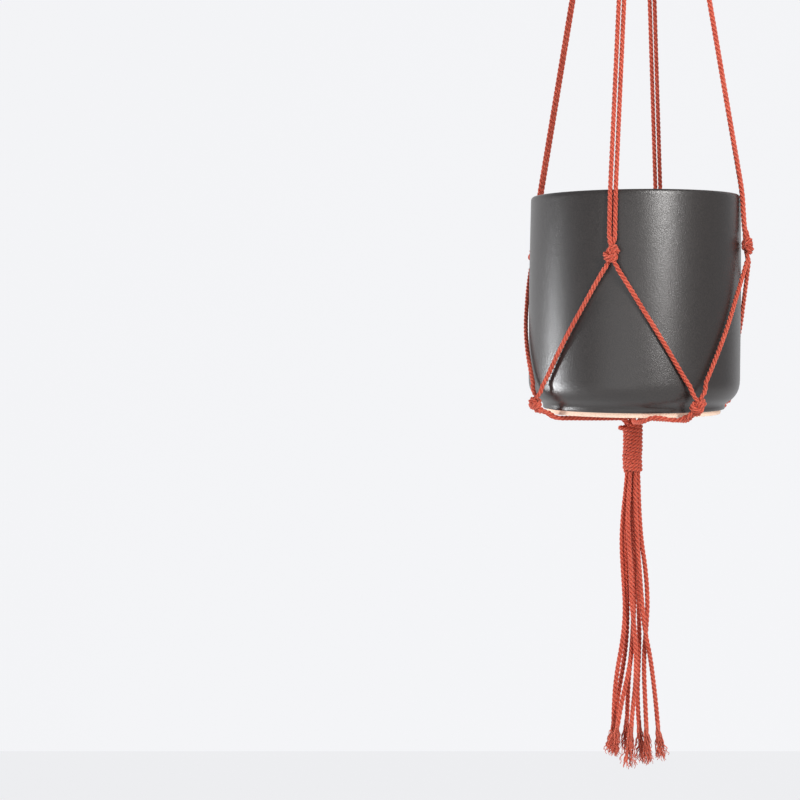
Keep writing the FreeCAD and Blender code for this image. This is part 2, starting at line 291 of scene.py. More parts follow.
def make_cotton():
    """Brick red cotton: fine yarns along each ply, with painted shade in the grooves between the
    plies, partly also dye less worn there.
    """
    material, nodes, links = new_material("brick_red_cotton")
    shader = nodes["Principled BSDF"]
    shader.inputs["Roughness"].default_value = 0.86
    shader.inputs["Specular IOR Level"].default_value = 0.22
    shader.inputs["Sheen Weight"].default_value = 0.22
    shader.inputs["Sheen Roughness"].default_value = 0.45
    shader.inputs["Sheen Tint"].default_value = (1.0, 0.72, 0.62, 1)

    place = nodes.new("ShaderNodeTexCoord").outputs["Object"]
    lay = nodes.new("ShaderNodeUVMap")
    lay.uv_map = "lay"
    split = nodes.new("ShaderNodeSeparateXYZ")
    links.new(lay.outputs["UV"], split.inputs["Vector"])

    def number(kind, first, second=None):
        step = nodes.new("ShaderNodeMath")
        step.operation = kind
        for socket, value in zip(step.inputs, (first, second)):
            if isinstance(value, (int, float)):
                socket.default_value = value
            elif value is not None:
                links.new(value, socket)
        return step.outputs[0]

    # Yarns: 24 round the cord, twisted against the lay, so that they run
    # nearly along the cord.
    yarns_around = 24.0
    yarns_per_lay = 30.0
    across = number("MULTIPLY", split.outputs["X"], yarns_around)
    along = number("MULTIPLY", split.outputs["Y"], yarns_per_lay)
    wobble = number("MULTIPLY", noise_of(nodes, links, place, 700.0, 2.0), 1.6)
    phase = number("ADD", number("SUBTRACT", across, along), wobble)
    yarn = number("SINE", number("MULTIPLY", phase, 2 * math.pi))
    yarn = number("MULTIPLY_ADD", yarn, 0.5)
    yarn.node.inputs[2].default_value = 0.5
    fibre = noise_of(nodes, links, place, 5200.0, 3.0)
    height = number("ADD", number("MULTIPLY", yarn, 0.7), number("MULTIPLY", fibre, 0.6))

    bump = nodes.new("ShaderNodeBump")
    bump.inputs["Strength"].default_value = 0.75
    bump.inputs["Distance"].default_value = 0.00022
    links.new(height, bump.inputs["Height"])
    links.new(bump.outputs["Normal"], shader.inputs["Normal"])

    # Colour: painted shade in the grooves between the plies, partly also dye less worn
    # there; pale on top of the yarns, and uneven in slow patches where the dye took less.
    groove_shade_and_yarn_tone = nodes.new("ShaderNodeAttribute")
    groove_shade_and_yarn_tone.attribute_name = "groove_shade_and_yarn_tone"
    # Painted shade: darker the deeper a point lies in the grooves between the plies; in a frayed
    # yarn, darker by its own tone.
    depth = number("MULTIPLY", groove_shade_and_yarn_tone.outputs["Fac"], 1.5)
    patches = number("MULTIPLY", noise_of(nodes, links, place, 60.0, 3.0), 0.55)
    light = number("ADD", number("MULTIPLY", height, 0.45), patches)
    light = number("SUBTRACT", light, depth)
    ramp = nodes.new("ShaderNodeValToRGB")
    ramp.color_ramp.elements[0].position = 0.0
    ramp.color_ramp.elements[0].color = (0.30, 0.030, 0.016, 1)
    ramp.color_ramp.elements[1].position = 0.85
    ramp.color_ramp.elements[1].color = (0.72, 0.150, 0.092, 1)
    middle = ramp.color_ramp.elements.new(0.42)
    middle.color = (0.56, 0.090, 0.052, 1)
    links.new(light, ramp.inputs["Fac"])
    links.new(ramp.outputs["Color"], shader.inputs["Base Color"])
    return material


cotton = make_cotton()


# ---------------------------------------------------------------------------
# The sling: eight cords come out of the top wrap as four pairs.  Each pair is
# tied in an overhand knot on the wall, its cords part to the lower knots, are
# tied there to a neighbour and run under the pot to its middle.
# ---------------------------------------------------------------------------
wrap_angles = {"front": -90.0, "right": 0.0, "back": 90.0, "left": 180.0}
arm_angles = {"front": -89.0, "right": 0.0, "back": 88.5, "left": 169.0}
corner_angles = {"front_right": -45.0, "back_right": 45.0,
                 "back_left": 135.0, "front_left": -135.0}
pair_offset = 0.00212
on_wall = pot_radius + 0.0023            # a cord's middle where it lies on the wall
rim_lean = 0.0012
rim_lift = 0.0022                        # of a cord's middle, off the rim's edge
top_wrap_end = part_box("top_wrap")[0].z
packed_radius = 0.00138                  # of a cord squeezed inside a wrap
knotted_radius = 0.00160                 # and of one pulled tight in a knot


def polar(angle, radius, along, height):
    """A point at a radius in the direction of angle, moved along the wall."""
    a = math.radians(angle)
    return Vector((radius * math.cos(a) - along * math.sin(a),
                   radius * math.sin(a) + along * math.cos(a), height))


def middle_of(node):
    """The middle of a node's box."""
    low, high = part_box(node)
    return (low + high) / 2


def arm_route(side, way, knot):
    """From inside the top wrap, straight to the rim and over it to the knot."""
    over_rim = pot_radius - rim_lean + rim_lift
    start, angle = wrap_angles[side], arm_angles[side]
    leave = polar(start, 0.0046, way * 0.0019, top_wrap_end - 0.001)
    rim = polar(angle, over_rim, way * pair_offset, pot_top)
    near_rim = rim + (leave - rim).normalized() * 0.024
    return [polar(start, 0.0034, way * 0.00145, top_wrap_end + 0.014), leave, near_rim, rim,
            polar(angle, over_rim + 0.0009, way * pair_offset, pot_top - 0.018),
            polar(angle, pot_radius + 0.0040, way * pair_offset, knot.z + 0.003)]


# A side cord's first and last points: sideways from the knot's middle, below
# or above it, and stand-off from the wall; between them, shares of the way.
side_leaves = (0.0025, 0.0074, 0.0044)
side_arrives = (0.0028, 0.0079, 0.0024)
side_shares = [(0.17, 0.17, 0.0022), (0.33, 0.335, 0.0005), (0.50, 0.505, 0.0005),
               (0.67, 0.675, 0.0005), (0.84, 0.85, 0.0008)]
side_span = 0.004


def side_route(angle, corner_angle, way, upper, lower):
    """Down and round the wall from an upper knot to a lower one."""
    turn = (corner_angle - angle + 180) % 360 - 180
    aside, below, off = side_leaves
    points = [polar(angle, on_wall + off, way * aside, upper.z - below)]
    top, bottom = upper.z - side_span, lower.z + side_span
    for around, down, off in side_shares:
        points.append(polar(angle + turn * around, on_wall + off, 0,
                            top + (bottom - top) * down))
    aside, above, off = side_arrives
    points.append(polar(corner_angle, on_wall + off, -way * aside, lower.z + above))
    return points


# Under the pot: distance from the axis and height above the foot's underside,
# with each cord's own sideways bow.
base_points = [(0.0860, 0.0070), (0.0795, 0.0014), (0.0726, -0.0027), (0.0610, -0.0029),
               (0.0410, -0.0036), (0.0200, -0.0041), (0.0050, -0.0043), (0.0034, -0.0160)]
base_bows = {
    ("front_right", 1): (0, 0, 0, 0.0003, 0.0008, 0.0005, 0, -0.0007),
    ("front_right", 2): (0, 0, 0, 0.0012, 0.0026, 0.0014, 0, -0.0007),
    ("back_right", 1): (0, 0, 0, 0.0002, 0.0006, 0.0003, 0, -0.0007),
    ("back_right", 2): (0, 0, 0, 0.0006, 0.0014, 0.0008, 0, -0.0007),
    ("back_left", 1): (0, 0, 0, 0.0009, 0.0020, 0.0010, 0, -0.0007),
    ("back_left", 2): (0, 0, 0, 0.0002, 0.0005, 0.0003, 0, -0.0007),
    ("front_left", 1): (0, 0, 0, 0.0005, 0.0011, 0.0007, 0, -0.0007),
    ("front_left", 2): (0, 0, 0, 0.0003, 0.0006, 0.0004, 0, -0.0007),
}
# One slack cord strays out in front of the foot: angle, distance, height.
stray_points = [(-46.4, 0.0863, 0.0060), (-49.7, 0.0819, -0.0004), (-55.1, 0.0786, -0.0016),
                (-61.6, 0.0767, 0.0006), (-67.1, 0.0758, 0.0010), (-71.4, 0.0722, -0.0028),
                (-74.6, 0.0602, -0.0042), (-77.6, 0.0410, -0.0046), (-76.1, 0.0216, -0.0046)]


def base_route(corner, number, way):
    """From a lower knot under the foot and down into the wrap."""
    angle = corner_angles[corner]
    bows = base_bows[corner, number]
    points = [polar(angle, radius, way * (pair_offset + bow), pot_base + height)
              for (radius, height), bow in zip(base_points, bows)]
    if (corner, number) == ("front_right", 1):
        stray = [polar(angle, radius, 0, pot_base + height)
                 for angle, radius, height in stray_points]
        points = stray + points[-2:]
    return points


def knot_axes(angle, lean):
    """Along the wall, up along the cords, and out, at a knot that leans back."""
    a, b = math.radians(angle), math.radians(lean)
    out = np.array((math.cos(a), math.sin(a), 0))
    up = np.array((0, 0, 1))
    return np.array([(-math.sin(a), math.cos(a), 0), up * math.cos(b) + out * math.sin(b),
                     out * math.cos(b) - up * math.sin(b)])


def pull_tight(cords, reach, outward, wall):
    """Draws loosely tied cords together until they press on each other.

    Each round shortens the cords a little, pushes apart what comes nearer than
    twice reach, and keeps them off the wall.  Their ends stay where they are.
    """
    shorten, give, look_around = 0.6, 0.3, 0.0025
    for spacing, rounds in ((0.0016, 40), (0.0010, 26)):
        beside = round(2.8 * reach / spacing)
        for _ in range(rounds):
            cords = [even_line(cord, spacing) for cord in cords]
            last = np.cumsum([len(cord) for cord in cords])
            places = np.concatenate(cords)
            order = np.arange(last[-1])
            order[last[0]:] += 10 * beside
            free = np.ones(last[-1], bool)
            free[[0, 1, last[0] - 2, last[0] - 1, last[0], last[0] + 1, -2, -1]] = False
            gap = np.linalg.norm(places[:, None] - places[None], axis=2)
            near = (gap < 2 * reach + look_around) & (np.abs(order[:, None] - order[None]) > beside)
            a, b = np.nonzero(np.triu(near))
            for _ in range(8):
                middle = (np.roll(places, 1, axis=0) + np.roll(places, -1, axis=0)) / 2
                places[free] += shorten * (middle - places)[free]
                for _ in range(3):
                    gap = places[a] - places[b]
                    far = np.linalg.norm(gap, axis=1) + 1e-9
                    press = np.clip(2 * reach - far, 0, None)
                    push = gap * (give * press / far)[:, None]
                    move = np.zeros_like(places)
                    np.add.at(move, a, push)
                    np.add.at(move, b, -push)
                    places[free] += move[free]
                sunk = np.where(free, np.clip(wall - places @ outward, 0, None), 0)
                places += sunk[:, None] * outward
            cords = np.split(places, [last[0]])
    return cords


def fit_knot(cords, half_sizes):
    """Settles a tied knot at its middle and presses it to its size."""
    press_in, least, most = 0.008, 0.75, 1.25
    held = []
    for cord in cords:
        along = distances(cord)
        from_end = np.minimum(along, along[-1] - along)
        share = np.clip(from_end / press_in, 0, 1)
        held.append(share * share * (3 - 2 * share))
    core = np.concatenate([cord[share > 0.99] for cord, share in zip(cords, held)])
    low, high = core.min(axis=0), core.max(axis=0)
    middle = (low + high) / 2
    scale = np.clip(np.array(half_sizes) / ((high - low) / 2), least, most)
    fitted = []
    for cord, share in zip(cords, held):
        pressed = (cord - middle) * scale
        fitted.append(cord + (pressed - cord) * share[:, None])
    return fitted


def tie_overhand(starts, finishes, loop_side, turned, outward, wall, half_sizes):
    """An overhand knot in a pair of cords, in the knot's own axes.

    Loosely tied, the pair winds one and a half turns about itself and closes
    with a wide loop on one side.  Then it is pulled tight.
    """
    half_width, half_height, depth, loop_out = 0.0048, 0.0085, 0.0042, 0.0085
    loop_stretch, off_wall, half_apart = 1.1, 0.0015, 0.0015
    wind = np.linspace(0, 3 * np.pi, 37)
    down = half_height * (1 - 2 * wind / wind[-1])
    first = np.column_stack([half_width * np.cos(wind), down, depth * np.sin(wind)])
    second = np.column_stack([-half_width * np.cos(wind), down, -depth * np.sin(wind)])
    swing = np.linspace(0, np.pi, 16)[1:-1]
    loop = np.column_stack([-half_width - loop_out * np.sin(swing),
                            -half_height * np.cos(swing) * loop_stretch, 0 * swing])
    middle = np.concatenate([first, loop, second])
    c, s = math.cos(turned), math.sin(turned)
    middle[:, 0] *= loop_side
    middle = middle @ np.array([(c, 0, -s), (0, 1, 0), (s, 0, c)])
    middle[:, 2] += off_wall
    way = np.gradient(middle, axis=0)
    across = np.column_stack([way[:, 1], -way[:, 0], 0 * way[:, 0]])
    across /= np.linalg.norm(across, axis=1)[:, None]
    cords = []
    for start, finish, side in zip(starts, finishes, (1, -1)):
        cord = middle + side * half_apart * across
        cords.append(np.concatenate([[start], cord, [finish]]))
    return fit_knot(pull_tight(cords, knotted_reach, outward, wall), half_sizes)


def knot_pair(node, angle, lines_in, lines_out, lean, style, half_sizes):
    """Ties the two cords of a knot between the lines that come in and go out."""
    axes = knot_axes(angle, lean)
    origin = np.array(middle_of(node))
    wall = -half_sizes[2]

    def up(line):
        return ((line - origin) @ axes.T)[:, 1]

    lines_in = [line[up(line) > knot_reach] for line in lines_in]
    lines_out = [line[up(line) < -knot_reach] for line in lines_out]
    starts = [(line[-1] - origin) @ axes.T for line in lines_in]
    finishes = [(line[0] - origin) @ axes.T for line in lines_out]
    outward = np.array((0, math.sin(math.radians(lean)), math.cos(math.radians(lean))))
    tied = tie_overhand(starts, finishes, *style, outward, wall, half_sizes)
    return lines_in, [cord @ axes + origin for cord in tied], lines_out


knotted_reach = 0.00150                  # half the distance of two cords in a knot
knot_reach = 0.0118                      # a knot's own cords start this far out
upper_half = (0.0054, 0.0060, 0.0036)    # of a knot's cord lines: along, up, out
lower_half = (0.0055, 0.0068, 0.0036)
lower_lean = 34.0

# Each knot as it was tied: the side its loop lies on, and how far it is turned.
upper_styles = {"front": (1, -0.45), "right": (-1, 0.5), "back": (1, -0.3), "left": (-1, 0.1)}
lower_styles = {"front_right": (1, 0.2), "back_right": (1, 0.2),
                "back_left": (1, -0.3), "front_left": (-1, 0.0)}

arms, sides, bases = {}, {}, {}
for side, angle in arm_angles.items():
    knot = middle_of(f"upper_knot_{side}")
    for number, way in ((1, -1), (2, 1)):
        arms[side, number] = even_line(smooth_line(arm_route(side, way, knot)), ring_step)
        corner = min(corner_angles, key=lambda name: abs(
            (corner_angles[name] - wrap_angles[side] - way * 45 + 180) % 360 - 180))
        lower = middle_of(f"lower_knot_{corner}")
        route = side_route(angle, corner_angles[corner], way, knot, lower)
        sides[side, number] = (corner, even_line(smooth_line(route), ring_step))
for corner, number in base_bows:
    way = -1 if number == 1 else 1
    bases[corner, number] = even_line(smooth_line(base_route(corner, number, way)), ring_step)

strands = {}
for side, angle in arm_angles.items():
    ins, tied, outs = knot_pair(f"upper_knot_{side}", angle, [arms[side, 1], arms[side, 2]],
                                [sides[side, 1][1], sides[side, 2][1]], 0.0,
                                upper_styles[side], upper_half)
    for number in (1, 2):
        strands[sides[side, number][0], 3 - number] = [
            (f"arm_{side}_{number}", ins[number - 1]),
            (f"upper_knot_{side}", tied[number - 1]),
            (f"side_{side}_{number}", outs[number - 1])]
for corner, angle in corner_angles.items():
    ins, tied, outs = knot_pair(f"lower_knot_{corner}", angle,
                                [strands[corner, 1][2][1], strands[corner, 2][2][1]],
                                [bases[corner, 1], bases[corner, 2]], lower_lean,
                                lower_styles[corner], lower_half)
    for number in (1, 2):
        strand = strands[corner, number]
        strand[2] = (strand[2][0], ins[number - 1])
        strand.append((f"lower_knot_{corner}", tied[number - 1]))
        strand.append((f"base_{corner}_{number}", outs[number - 1]))

knot_edge = 0.0068                       # a cord is thin this near a knot's middle
knot_fade = 0.0035                       # and full again this much further out
top_fade = 0.020                         # and over these lengths out of the wraps
bottom_fade = 0.016

runs = {}
for strand in strands.values():
    stretches = [even_line(line, ring_step) for _, line in strand]
    line = eased(np.concatenate(stretches), 3)
    radii = np.full(len(line), cord_radius)
    for name, _ in strand:
        if "knot" in name:
            far = np.linalg.norm(line - np.array(middle_of(name)), axis=1)
            share = np.clip((far - knot_edge) / knot_fade, 0, 1)
            radii = np.minimum(radii, knotted_radius + (cord_radius - knotted_radius) * share)
    along = distances(line)
    for from_end, fade in ((along, top_fade), (along[-1] - along, bottom_fade)):
        share = np.clip(from_end / fade, 0, 1)
        radii = np.minimum(radii, packed_radius + (cord_radius - packed_radius) * share)
    rings, along, outline = lay_up(line, eased(radii[:, None], 3)[:, 0])
    first = 0
    for (name, _), stretch in zip(strand, stretches):
        last = min(first + len(stretch) + 1, len(line))
        runs.setdefault(name, []).append((rings[first:last], along[first:last], outline))
        first += len(stretch)

for name, parts in runs.items():
    piece = cord_mesh(name + "_cord", parts)
    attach(piece, "hanger")
    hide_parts(name)


# ---------------------------------------------------------------------------
# The loops: four cords folded over the bottom of the ring, side by side.
# Their eight legs draw together into the top of the wrap.
# ---------------------------------------------------------------------------
ring_radius = 0.0245                    # to the middle of the wire
loop_fold = 0.0048                      # from the wire's middle to the cord's
top_wrap_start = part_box("top_wrap")[1].z

for number, across in enumerate((-0.00615, -0.00205, 0.00205, 0.00615), start=1):
    wire = -math.sqrt(ring_radius ** 2 - across ** 2)
    packed = (0.0031, 0.0013) if abs(across) > 0.004 else (0.0013, 0.0031)
    leg_x = math.copysign(packed[0], across)
    leg = [(leg_x, packed[1], top_wrap_start - 0.012),
           (leg_x, packed[1], top_wrap_start - 0.001),
           (across * 0.96, loop_fold * 0.92, wire - 0.008),
           (across, loop_fold, wire),
           (across, loop_fold, wire + loop_fold)]
    other_leg = [(x, -y, z) for x, y, z in reversed(leg)]
    line = even_line(smooth_line(leg + other_leg), ring_step)
    share = np.clip((line[:, 2] - top_wrap_start - 0.001) / 0.008, 0, 1)
    radii = packed_radius + (cord_radius - packed_radius) * share
    piece = cord_mesh(f"ring_loop_{number}_cord", [lay_up(line, radii)])
    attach(piece, "hanger")
    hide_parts(f"ring_loop_{number}")


# ---------------------------------------------------------------------------
# The wraps: a length of the same cord wound tightly round the eight strands,
# under the ring and again under the pot, with both its ends tucked inside.
# ---------------------------------------------------------------------------
wound_radius = 0.0063                   # to the middle of the wound cord
wound_pitch = 0.0032
wound_cord = 0.00190                    # radius of the cord, pulled tight
wound_lay = 0.0082                      # its plies lie closer than in a slack cord
tucked_out = 0.0030                     # where an end lies inside the wrap
tucked_cord = 0.0012                    # and its radius there
tuck_turns = 0.30                       # over this share of a turn it goes in


def wound_line(top, bottom, start):
    """The middle of a cord wound down from top to bottom, ends tucked in."""
    turns = (top - bottom) / wound_pitch
    turned = np.linspace(0, turns, round(turns * 48))
    tucked = np.clip(np.minimum(turned, turns - turned) / tuck_turns, 0, 1)
    out = tucked_out + (wound_radius - tucked_out) * tucked * tucked * (3 - 2 * tucked)
    angle = start + 2 * np.pi * turned
    line = np.column_stack([out * np.cos(angle), out * np.sin(angle),
                            top - wound_pitch * turned])
    return line, tucked_cord + (wound_cord - tucked_cord) * tucked


line, radii = wound_line(top_wrap_start - wound_cord, top_wrap_end + wound_cord, 2.2)
piece = cord_mesh("top_wrap_cord", [lay_up(line, radii, wound_lay)])
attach(piece, "hanger")
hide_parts("top_wrap", "top_wrap_strands")

# The wrap under the pot was wound a little unevenly: it bulges to one side.
bottom_wrap_low, bottom_wrap_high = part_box("bottom_wrap_strands")
bulge_height = pot_base - 0.0365
bulge_out, bulge_half = 0.0005, 0.0035
lump_turn, lump_turns = 0.96, 0.17      # a crossing turn near the wrap's top
lump_out, lump_up = 0.0040, 0.0004
line, radii = wound_line(bottom_wrap_high.z + 0.0002 - wound_cord,
                         bottom_wrap_low.z + 0.0014 + wound_cord, 3.6)
bulge = np.exp(-((line[:, 2] - bulge_height) / bulge_half) ** 2)
line -= bulge_out * bulge[:, None] * np.array(to_right)
turned = np.linspace(0, 1, len(line)) * (line[0, 2] - line[-1, 2]) / wound_pitch
lump = np.exp(-((turned - lump_turn) / lump_turns) ** 2)
line += lump[:, None] * (np.array((0, 0, lump_up)) - lump_out * np.array(to_right))
piece = cord_mesh("bottom_wrap_cord", [lay_up(line, radii, wound_lay)])
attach(piece, "wrap")
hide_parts("bottom_wrap", "bottom_wrap_strands")


# ---------------------------------------------------------------------------
# The tassel: the eight strands hang free below the wrap.  The end of each is
# unlaid and combed out into its crimped yarns.
# ---------------------------------------------------------------------------
tassel_turn = 12.0                      # the tassel's wide direction, from +X
strand_radius = 0.0020
strand_packed = 0.0016                  # radius where it comes out of the wrap
strand_swell = 0.014                    # the length over which it opens out

# Each strand's way down, in millimetres: across, deep, height from the foot.
strand_routes = [
    [(-4.54, -1.40, -48), (-5.0, -1.2, -62), (-8.0, 0.2, -80), (-10.6, 1.0, -105),
     (-9.6, 1.2, -132), (-7.6, 0.8, -160), (-9.4, 0.4, -184), (-13.8, -0.3, -208),
     (-16.2, -0.8, -230), (-16.6, -1.0, -252)],
    [(-3.92, 2.68, -48), (-4.9, 3.3, -62), (-6.0, 5.4, -81), (-7.2, 7.0, -106),
     (-6.8, 7.4, -134), (-5.9, 7.0, -162), (-6.6, 7.0, -188), (-9.8, 7.6, -212),
     (-13.4, 8.2, -233), (-15.2, 8.5, -252)],
    [(-1.73, -4.42, -48), (-2.5, -5.0, -62), (-4.5, -5.6, -82), (-4.4, -6.0, -104),
     (-3.4, -6.0, -128), (-2.9, -5.8, -152), (-0.2, -5.8, -173), (1.5, -6.0, -195),
     (1.2, -6.2, -218), (-0.9, -6.2, -238), (-2.2, -6.0, -254)],
    [(3.48, 3.23, -48), (3.2, 3.9, -62), (3.2, 4.4, -84), (3.0, 4.2, -110),
     (2.6, 4.2, -138), (3.4, 3.6, -162), (4.0, 2.4, -186), (3.2, 1.2, -210),
     (2.6, 0.8, -232), (4.2, 1.5, -253)],
    [(2.37, -4.11, -48), (2.1, -4.6, -62), (2.0, -5.2, -82), (2.4, -5.6, -104),
     (3.7, -5.9, -128), (5.6, -6.3, -152), (8.4, -6.6, -176), (12.8, -5.6, -196),
     (15.6, -4.2, -216), (18.0, -2.8, -236), (19.7, -2.0, -254)],
    [(4.70, -0.71, -48), (4.9, -0.6, -62), (4.9, -0.4, -82), (5.6, -0.2, -104),
     (8.4, -0.2, -126), (10.4, -0.4, -150), (9.8, -0.8, -170), (7.9, -0.6, -192),
     (8.0, -2.2, -214), (9.3, -4.6, -236), (10.2, -6.0, -254)],
    [(0.0, 0.0, -48), (0.15, 0.0, -62), (0.0, -0.2, -82), (0.2, -0.3, -106),
     (-0.6, -0.4, -130), (-0.4, -0.2, -154), (-1.4, -0.6, -178), (-2.6, -1.4, -198),
     (-6.0, -4.4, -216), (-10.2, -7.6, -234), (-13.2, -9.6, -252)],
    [(-0.36, 4.74, -48), (-0.6, 5.2, -62), (-1.5, 6.2, -84), (-1.2, 7.0, -108),
     (-1.6, 7.2, -134), (-1.0, 7.0, -160), (-1.6, 6.6, -184), (-3.6, 6.0, -206),
     (-5.2, 5.6, -228), (-5.5, 6.0, -250)],
]
hang_from = -62                         # below this the strands hang free
hang_aside = 2.8                        # a little to the right
hang_lower = 0.028                      # and this share lower
fray_lengths = [0.024, 0.024, 0.031, 0.029, 0.025, 0.027, 0.023, 0.025]
yarns_in_fray = 36
yarn_radius = 0.00050
yarn_points = 18
yarn_root = 0.004                       # how far inside the strand a yarn starts
fray_spread = 0.0060                    # of the yarns' tips, to the side
yarn_shades = (-0.25, -0.18, -0.10, 0.0, 0.14)  # how much darker a yarn is
random.seed(11)


def yarn_rings(line, radii):
    """Five-sided rings along one yarn, for cord_mesh."""
    ways = np.gradient(line, axis=0)
    ways /= np.linalg.norm(ways, axis=1)[:, None]
    sides = np.cross(ways, (0.37, 0.82, 0.11))
    sides /= np.linalg.norm(sides, axis=1)[:, None]
    others = np.cross(ways, sides)
    turn = 2 * np.pi * np.arange(5) / 5
    rings = line[:, None] + radii[:, None, None] * (
        np.cos(turn)[None, :, None] * sides[:, None] + np.sin(turn)[None, :, None] * others[:, None])
    return rings, distances(line) / lay_length, np.full(5, 1 - random.choice(yarn_shades))


def frayed_yarn(end, way, length, ply, spread):
    """One crimped yarn of a fray, from inside the strand to its tip."""
    across = way.cross(Vector((0.2, 1, 0.1))).normalized()
    deep = way.cross(across)
    own = random.uniform(0, 2 * math.pi)
    reach = length * random.uniform(0.86, 1.10)
    crimp = random.uniform(0.00035, 0.00085)
    wave = random.uniform(0.0048, 0.0075)
    offset = random.uniform(0.1, 0.95)
    lean = spread * random.uniform(0.35, 1.0) * (offset + 0.25)
    lean_angle = own + random.uniform(-0.5, 0.5)
    phase = random.uniform(0, 2 * math.pi)
    points = []
    for i in range(yarn_points):
        share = i / (yarn_points - 1)
        down = -yarn_root + (reach + yarn_root) * share
        free = max(0, down / reach)
        ply_angle = 2 * math.pi * (ply / 3 - 0.9 * share)
        ply_out = 0.0009 + 0.0009 * free
        own_out = 0.0008 * offset
        rock = crimp * min(1, 3 * free)
        x = (ply_out * math.cos(ply_angle) + own_out * math.cos(own)
             + lean * free ** 1.4 * math.cos(lean_angle)
             + rock * math.sin(2 * math.pi * down / wave + phase))
        y = (ply_out * math.sin(ply_angle) + own_out * math.sin(own)
             + lean * free ** 1.4 * math.sin(lean_angle)
             + rock * math.cos(2 * math.pi * down / wave * 0.83 + phase))
        points.append(end + way * down + across * x + deep * y)
    thickness = yarn_radius * random.uniform(0.75, 1.15) * np.linspace(1.1, 0.55, yarn_points)
    return yarn_rings(np.array(points), thickness)


for number, route in enumerate(strand_routes, start=1):
    points = []
    for across, deep, height in route:
        below = max(0, hang_from - height)
        across += hang_aside * min(1, below / 60)
        height -= hang_lower * below
        points.append(polar(tassel_turn, across / 1000, deep / 1000, pot_base + height / 1000))
    line = even_line(smooth_line(points), ring_step)
    along = distances(line)
    share = np.clip(along / strand_swell, 0, 1)
    radii = strand_packed + (strand_radius - strand_packed) * share
    strand = cord_mesh(f"tassel_strand_{number}", [lay_up(line, radii)])
    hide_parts(f"strand_{number}")

    end = Vector(line[-1])
    way = (end - Vector(line[-8])).normalized()
    length = fray_lengths[number - 1]
    yarns = [frayed_yarn(end, way, length, i % 3, fray_spread) for i in range(yarns_in_fray)]
    fray = cord_mesh(f"tassel_fray_{number}", yarns)
    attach(fray, "tassel")
    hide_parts(f"frayed_end_{number}")

    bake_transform(strand)


# ---------------------------------------------------------------------------
# The pot: thrown stoneware with a dark speckled glaze, and a foot ring left
# bare.  It is turned up from the foot, over the rim and down to its floor.
# ---------------------------------------------------------------------------
foot_line = 0.0035                      # the glaze ends this far above the foot

# Radius and height above the foot, in millimetres, from the underside round
# the rim to the floor.
wall_outside = [(63.0, 2.0), (64.0, 0.2), (64.6, 0.0), (69.2, 0.0), (69.8, 0.2), (70.0, 0.7),
                (70.0, 3.2), (70.3, 3.5), (72.2, 3.7), (72.9, 4.0), (73.3, 4.6), (73.4, 6.2),
                (73.6, 7.6), (74.4, 8.6), (76.6, 10.2), (79.0, 12.0), (81.1, 14.2),
                (82.9, 17.0), (84.2, 20.3), (84.9, 24.0), (85.1, 28.0),
                (85.1, 50.0), (85.1, 80.0), (85.05, 100.0), (84.75, 125.0), (84.3, 150.0),
                (83.9, 171.0)]
wall_inside = [(83.8, 173.0), (83.3, 174.2), (82.4, 174.9), (81.4, 175.0), (80.4, 174.7),
               (79.5, 174.1), (78.6, 172.9), (78.0, 171.0), (78.2, 150.0), (78.9, 100.0),
               (79.1, 60.0), (79.1, 20.0), (78.3, 14.5), (76.2, 10.8), (73.0, 8.7),
               (69.1, 8.0), (40.0, 8.0)]


def deselect_all():
    """Leaves nothing selected, as every operator below needs."""
    for piece in bpy.context.selected_objects:
        piece.select_set(False)


def turned_shell(name, profile, base, segments):
    """Turns a profile of radii and heights about the axis, by hand on a wheel."""
    deselect_all()
    radius, height = profile[0]
    bpy.ops.mesh.primitive_circle_add(vertices=segments, radius=radius / 1000,
                                      fill_type="NGON", location=(0, 0, base + height / 1000))
    shell = bpy.context.object
    shell.name = name
    bpy.ops.object.transform_apply(location=True)
    bpy.ops.object.mode_set(mode="EDIT")
    bpy.ops.mesh.select_mode(type="EDGE")
    bpy.ops.mesh.select_all(action="SELECT")
    bpy.ops.mesh.delete(type="ONLY_FACE")
    bpy.ops.mesh.select_all(action="SELECT")
    for next_radius, next_height in profile[1:]:
        grow = next_radius / radius
        rise = (next_height - height) / 1000
        bpy.ops.mesh.extrude_region_move(TRANSFORM_OT_translate={"value": (0, 0, rise)})
        bpy.ops.transform.resize(value=(grow, grow, 1))
        radius, height = next_radius, next_height
    bpy.ops.mesh.edge_face_add()
    bpy.ops.mesh.select_all(action="DESELECT")
    bpy.ops.object.mode_set(mode="OBJECT")
    return shell


def close_and_turn_out(shell, base, height):
    """Closes the underside and makes every face point outwards."""
    bpy.context.view_layer.objects.active = shell
    for vertex in shell.data.vertices:
        on_rim = math.hypot(vertex.co.x, vertex.co.y) < wall_outside[0][0] / 1000 + 1e-5
        vertex.select = on_rim and abs(vertex.co.z - base - height) < 1e-5
    bpy.ops.object.mode_set(mode="EDIT")
    bpy.ops.mesh.select_mode(type="VERT")
    bpy.ops.mesh.edge_face_add()
    bpy.ops.mesh.select_all(action="SELECT")
    bpy.ops.mesh.normals_make_consistent(inside=False)
    bpy.ops.mesh.select_all(action="DESELECT")
    bpy.ops.object.mode_set(mode="OBJECT")
    shell.select_set(True)
    bpy.ops.object.shade_smooth_by_angle(angle=math.radians(40))
    shell.select_set(False)


